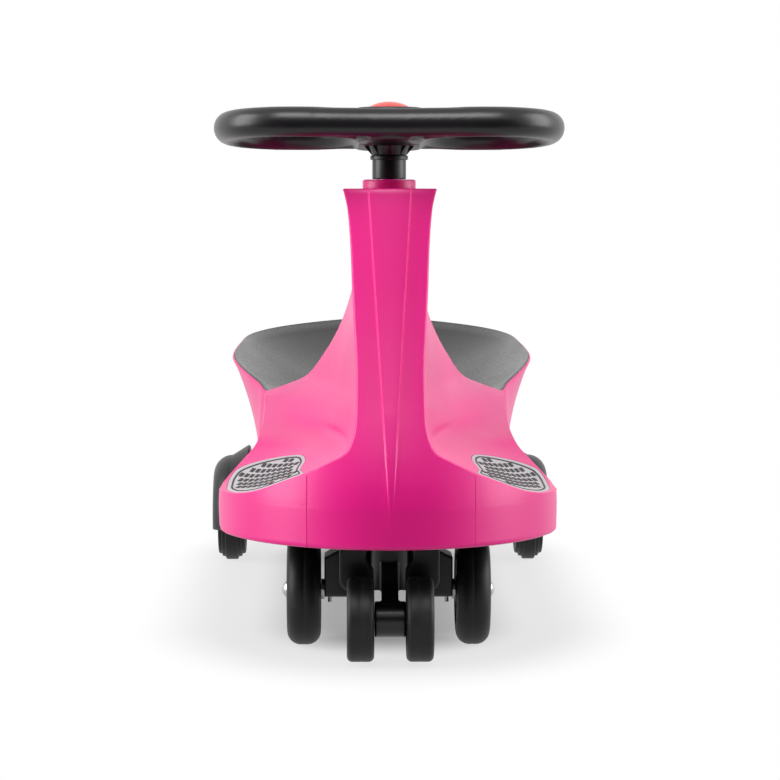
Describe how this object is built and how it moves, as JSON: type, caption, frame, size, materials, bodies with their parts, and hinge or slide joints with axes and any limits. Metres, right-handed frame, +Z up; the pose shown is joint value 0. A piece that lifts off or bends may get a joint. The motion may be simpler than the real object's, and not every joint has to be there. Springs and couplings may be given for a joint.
{
  "type": "wiggle car",
  "caption": "Ride-on wiggle car: hollow moulded body with a dished seat and foot rests, steered by a butterfly wheel that turns a front bracket of free-rolling wheels.",
  "frame": {"origin": "on the floor, below the middle of the car's bounding box", "axes": "+Z up, the car faces -Y, +X to the right in the front view"},
  "size_m": [0.304, 0.78, 0.397],
  "materials": {
    "body_pink": "satin gloss moulded plastic",
    "seat_grey": "fine matte grain",
    "plate_silver": "silver non-slip pad",
    "fender_grey": "satin moulded plastic",
    "black_plastic": "satin moulded plastic",
    "cap_red": "gloss",
    "steel": "zinc plated",
    "nylon": "natural nylon",
    "tyre_black": "soft polyurethane",
    "hub_black": "moulded plastic"
  },
  "bodies": {
    "chassis": {"body_shell": "body_pink", "belly_pan": "fender_grey", "belly_screws": "steel", "seat_panel": "seat_grey", "footplate_left": "plate_silver", "footplate_right": "plate_silver", "column_collar": "body_pink", "lower_bush": "nylon", "rear_axle": "steel", "fender_left": "fender_grey", "fender_right": "fender_grey", "fender_screws": "steel"},
    "steering": {"steering_wheel": "black_plastic", "steering_cap": "cap_red", "steering_bolt": "steel", "stem_cover": "black_plastic", "steering_shaft": "steel", "front_bracket": "black_plastic", "bracket_bolt": "steel", "bracket_nut": "steel", "thrust_washer": "nylon", "front_axle_left": "steel", "front_axle_right": "steel", "front_spacers": "steel", "axle_set_screws": "steel", "safety_axle": "steel", "safety_axle_caps": "black_plastic"},
    "front_wheel_left": {"front_tyre_left": "tyre_black", "front_hub_left": "hub_black"},
    "front_wheel_right": {"front_tyre_right": "tyre_black", "front_hub_right": "hub_black"},
    "safety_wheel_left": {"safety_tyre_left": "tyre_black", "safety_hub_left": "hub_black"},
    "safety_wheel_right": {"safety_tyre_right": "tyre_black", "safety_hub_right": "hub_black"},
    "rear_wheel_left": {"rear_tyre_left": "tyre_black", "rear_hub_left": "hub_black"},
    "rear_wheel_right": {"rear_tyre_right": "tyre_black", "rear_hub_right": "hub_black"}
  },
  "joints": [
    {"name": "steer", "type": "hinge", "parent": "chassis", "child": "steering", "pos_m": [0, -0.295, 0.2], "axis": [0, 0, 1], "continuous": true},
    {"name": "front_wheel_left_spin", "type": "hinge", "parent": "steering", "child": "front_wheel_left", "pos_m": [-0.062, -0.25, 0.0408], "axis": [1, 0, 0], "continuous": true},
    {"name": "front_wheel_right_spin", "type": "hinge", "parent": "steering", "child": "front_wheel_right", "pos_m": [0.062, -0.25, 0.0408], "axis": [1, 0, 0], "continuous": true},
    {"name": "safety_wheel_left_spin", "type": "hinge", "parent": "steering", "child": "safety_wheel_left", "pos_m": [-0.021, -0.342, 0.0317], "axis": [1, 0, 0], "continuous": true},
    {"name": "safety_wheel_right_spin", "type": "hinge", "parent": "steering", "child": "safety_wheel_right", "pos_m": [0.021, -0.342, 0.0317], "axis": [1, 0, 0], "continuous": true},
    {"name": "rear_wheel_left_spin", "type": "hinge", "parent": "chassis", "child": "rear_wheel_left", "pos_m": [-0.1344, 0.25, 0.041], "axis": [1, 0, 0], "continuous": true},
    {"name": "rear_wheel_right_spin", "type": "hinge", "parent": "chassis", "child": "rear_wheel_right", "pos_m": [0.1344, 0.25, 0.041], "axis": [1, 0, 0], "continuous": true}
  ]
}
